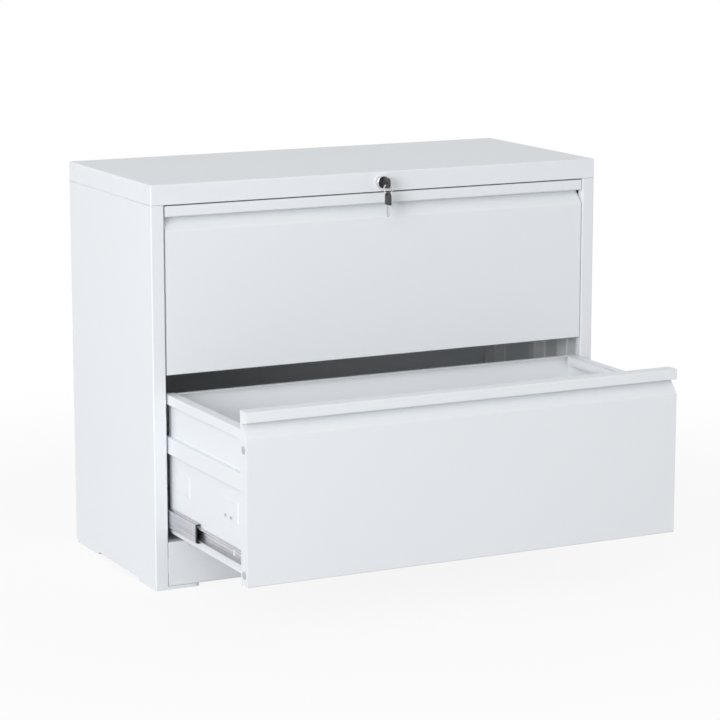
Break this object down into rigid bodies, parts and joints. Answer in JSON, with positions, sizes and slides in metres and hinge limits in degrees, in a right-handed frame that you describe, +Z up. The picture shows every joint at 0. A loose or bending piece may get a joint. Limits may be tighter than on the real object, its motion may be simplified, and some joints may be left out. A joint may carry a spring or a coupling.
{
  "type": "lateral filing cabinet",
  "caption": "Wide white steel filing cabinet: full-width drawers with finger-pull lips on telescopic ball slides, and a keyed lock in the top rail.",
  "frame": {"origin": "on the floor under the middle of the case's footprint, the drawers left out of account", "axes": "+Z up, -Y towards the drawers' fronts, +X to the right of someone who faces the drawers"},
  "size_m": [0.9012, 0.7406, 0.73],
  "materials": {
    "white_paint": "white powder coat, fine satin texture",
    "inner_paint": "white powder coat, inside the case",
    "painted_rivet": "painted over with the case",
    "foot_pad": "moulded, pale grey white",
    "front_button": "moulded, light grey",
    "zinc_rail": "bright zinc plated, rolled",
    "zinc_plate": "zinc plated, pressed",
    "steel_ball": "polished bearing steel, greased",
    "black_plastic": "moulded black",
    "lock_chrome": "bright chrome plated",
    "lock_face": "nickel plated, dark keyway",
    "key_grip": "moulded dark grey, ribbed",
    "key_nickel": "nickel plated"
  },
  "bodies": {
    "case": {"top_cap": "white_paint", "left_side_panel": "white_paint", "right_side_panel": "white_paint", "back_panel": "white_paint", "bottom_panel": "white_paint", "kick_panel": "white_paint", "corner_feet": "foot_pad", "slide_uprights": "inner_paint", "case_rivets": "painted_rivet", "upper_left_outer_rail": "zinc_rail", "upper_right_outer_rail": "zinc_rail", "lower_left_outer_rail": "zinc_rail", "lower_right_outer_rail": "zinc_rail", "lock_barrel": "lock_chrome", "lock_nut": "zinc_plate", "lock_bar_pins": "zinc_plate", "lock_bar_guide": "zinc_plate"},
    "lock_plug": {"lock_plug": "lock_face", "lock_cam": "zinc_plate"},
    "lock_bar": {"lock_bar": "zinc_plate"},
    "key": {"key_bow": "key_grip", "key_blade": "key_nickel"},
    "key_ring": {"key_ring": "key_nickel"},
    "upper_drawer": {"upper_drawer_front": "white_paint", "upper_front_liner": "white_paint", "upper_drawer_back": "white_paint", "upper_drawer_bottom": "white_paint", "upper_left_side": "white_paint", "upper_left_inner_rail": "zinc_rail", "upper_right_side": "white_paint", "upper_right_inner_rail": "zinc_rail", "upper_front_buttons": "front_button", "upper_lock_catch": "zinc_plate"},
    "upper_middle_rails": {"upper_left_middle_rail": "zinc_rail", "upper_right_middle_rail": "zinc_rail", "upper_slide_bumpers": "black_plastic"},
    "upper_outer_cages": {"upper_outer_cages": "zinc_plate", "upper_outer_balls": "steel_ball"},
    "upper_inner_cages": {"upper_inner_cages": "zinc_plate", "upper_inner_balls": "steel_ball"},
    "lower_drawer": {"lower_drawer_front": "white_paint", "lower_front_liner": "white_paint", "lower_drawer_back": "white_paint", "lower_drawer_bottom": "white_paint", "lower_left_side": "white_paint", "lower_left_inner_rail": "zinc_rail", "lower_right_side": "white_paint", "lower_right_inner_rail": "zinc_rail", "lower_front_buttons": "front_button", "lower_lock_catch": "zinc_plate"},
    "lower_middle_rails": {"lower_left_middle_rail": "zinc_rail", "lower_right_middle_rail": "zinc_rail", "lower_slide_bumpers": "black_plastic"},
    "lower_outer_cages": {"lower_outer_cages": "zinc_plate", "lower_outer_balls": "steel_ball"},
    "lower_inner_cages": {"lower_inner_cages": "zinc_plate", "lower_inner_balls": "steel_ball"}
  },
  "joints": [
    {"name": "upper_drawer_slide", "type": "slide", "parent": "case", "child": "upper_drawer", "axis": [0, -1, 0], "range_m": [0, 0.35]},
    {"name": "upper_middle_rails_slide", "type": "slide", "parent": "case", "child": "upper_middle_rails", "axis": [0, -1, 0], "range_m": [0, 0.175]},
    {"name": "upper_outer_cages_slide", "type": "slide", "parent": "case", "child": "upper_outer_cages", "axis": [0, -1, 0], "range_m": [0, 0.0875]},
    {"name": "upper_inner_cages_slide", "type": "slide", "parent": "case", "child": "upper_inner_cages", "axis": [0, -1, 0], "range_m": [0, 0.2625]},
    {"name": "lower_drawer_slide", "type": "slide", "parent": "case", "child": "lower_drawer", "axis": [0, -1, 0], "range_m": [-0.34, 0.01]},
    {"name": "lower_middle_rails_slide", "type": "slide", "parent": "case", "child": "lower_middle_rails", "axis": [0, -1, 0], "range_m": [-0.17, 0.005]},
    {"name": "lower_outer_cages_slide", "type": "slide", "parent": "case", "child": "lower_outer_cages", "axis": [0, -1, 0], "range_m": [-0.085, 0.0025]},
    {"name": "lower_inner_cages_slide", "type": "slide", "parent": "case", "child": "lower_inner_cages", "axis": [0, -1, 0], "range_m": [-0.255, 0.0075]},
    {"name": "lock_turn", "type": "hinge", "parent": "case", "child": "lock_plug", "pos_m": [0, -0.2, 0.7115], "axis": [0, -1, 0], "range_deg": [0, 90]},
    {"name": "lock_bar_slide", "type": "slide", "parent": "case", "child": "lock_bar", "axis": [-1, 0, 0], "range_m": [0, 0.012]},
    {"name": "key_pull", "type": "slide", "parent": "lock_plug", "child": "key", "axis": [0, -1, 0], "range_m": [0, 0.03]},
    {"name": "key_ring_swing", "type": "hinge", "parent": "key", "child": "key_ring", "pos_m": [0, -0.228, 0.7115], "axis": [-1, 0, 0], "range_deg": [-15, 60]}
  ],
  "couplings": [
    {"joint": "upper_middle_rails_slide", "follows": "upper_drawer_slide", "ratio": 0.5},
    {"joint": "upper_outer_cages_slide", "follows": "upper_drawer_slide", "ratio": 0.25},
    {"joint": "upper_inner_cages_slide", "follows": "upper_drawer_slide", "ratio": 0.75},
    {"joint": "lower_middle_rails_slide", "follows": "lower_drawer_slide", "ratio": 0.5},
    {"joint": "lower_outer_cages_slide", "follows": "lower_drawer_slide", "ratio": 0.25},
    {"joint": "lower_inner_cages_slide", "follows": "lower_drawer_slide", "ratio": 0.75},
    {"joint": "lock_turn", "follows": "lock_bar_slide", "rad_per_m": 130.9}
  ]
}
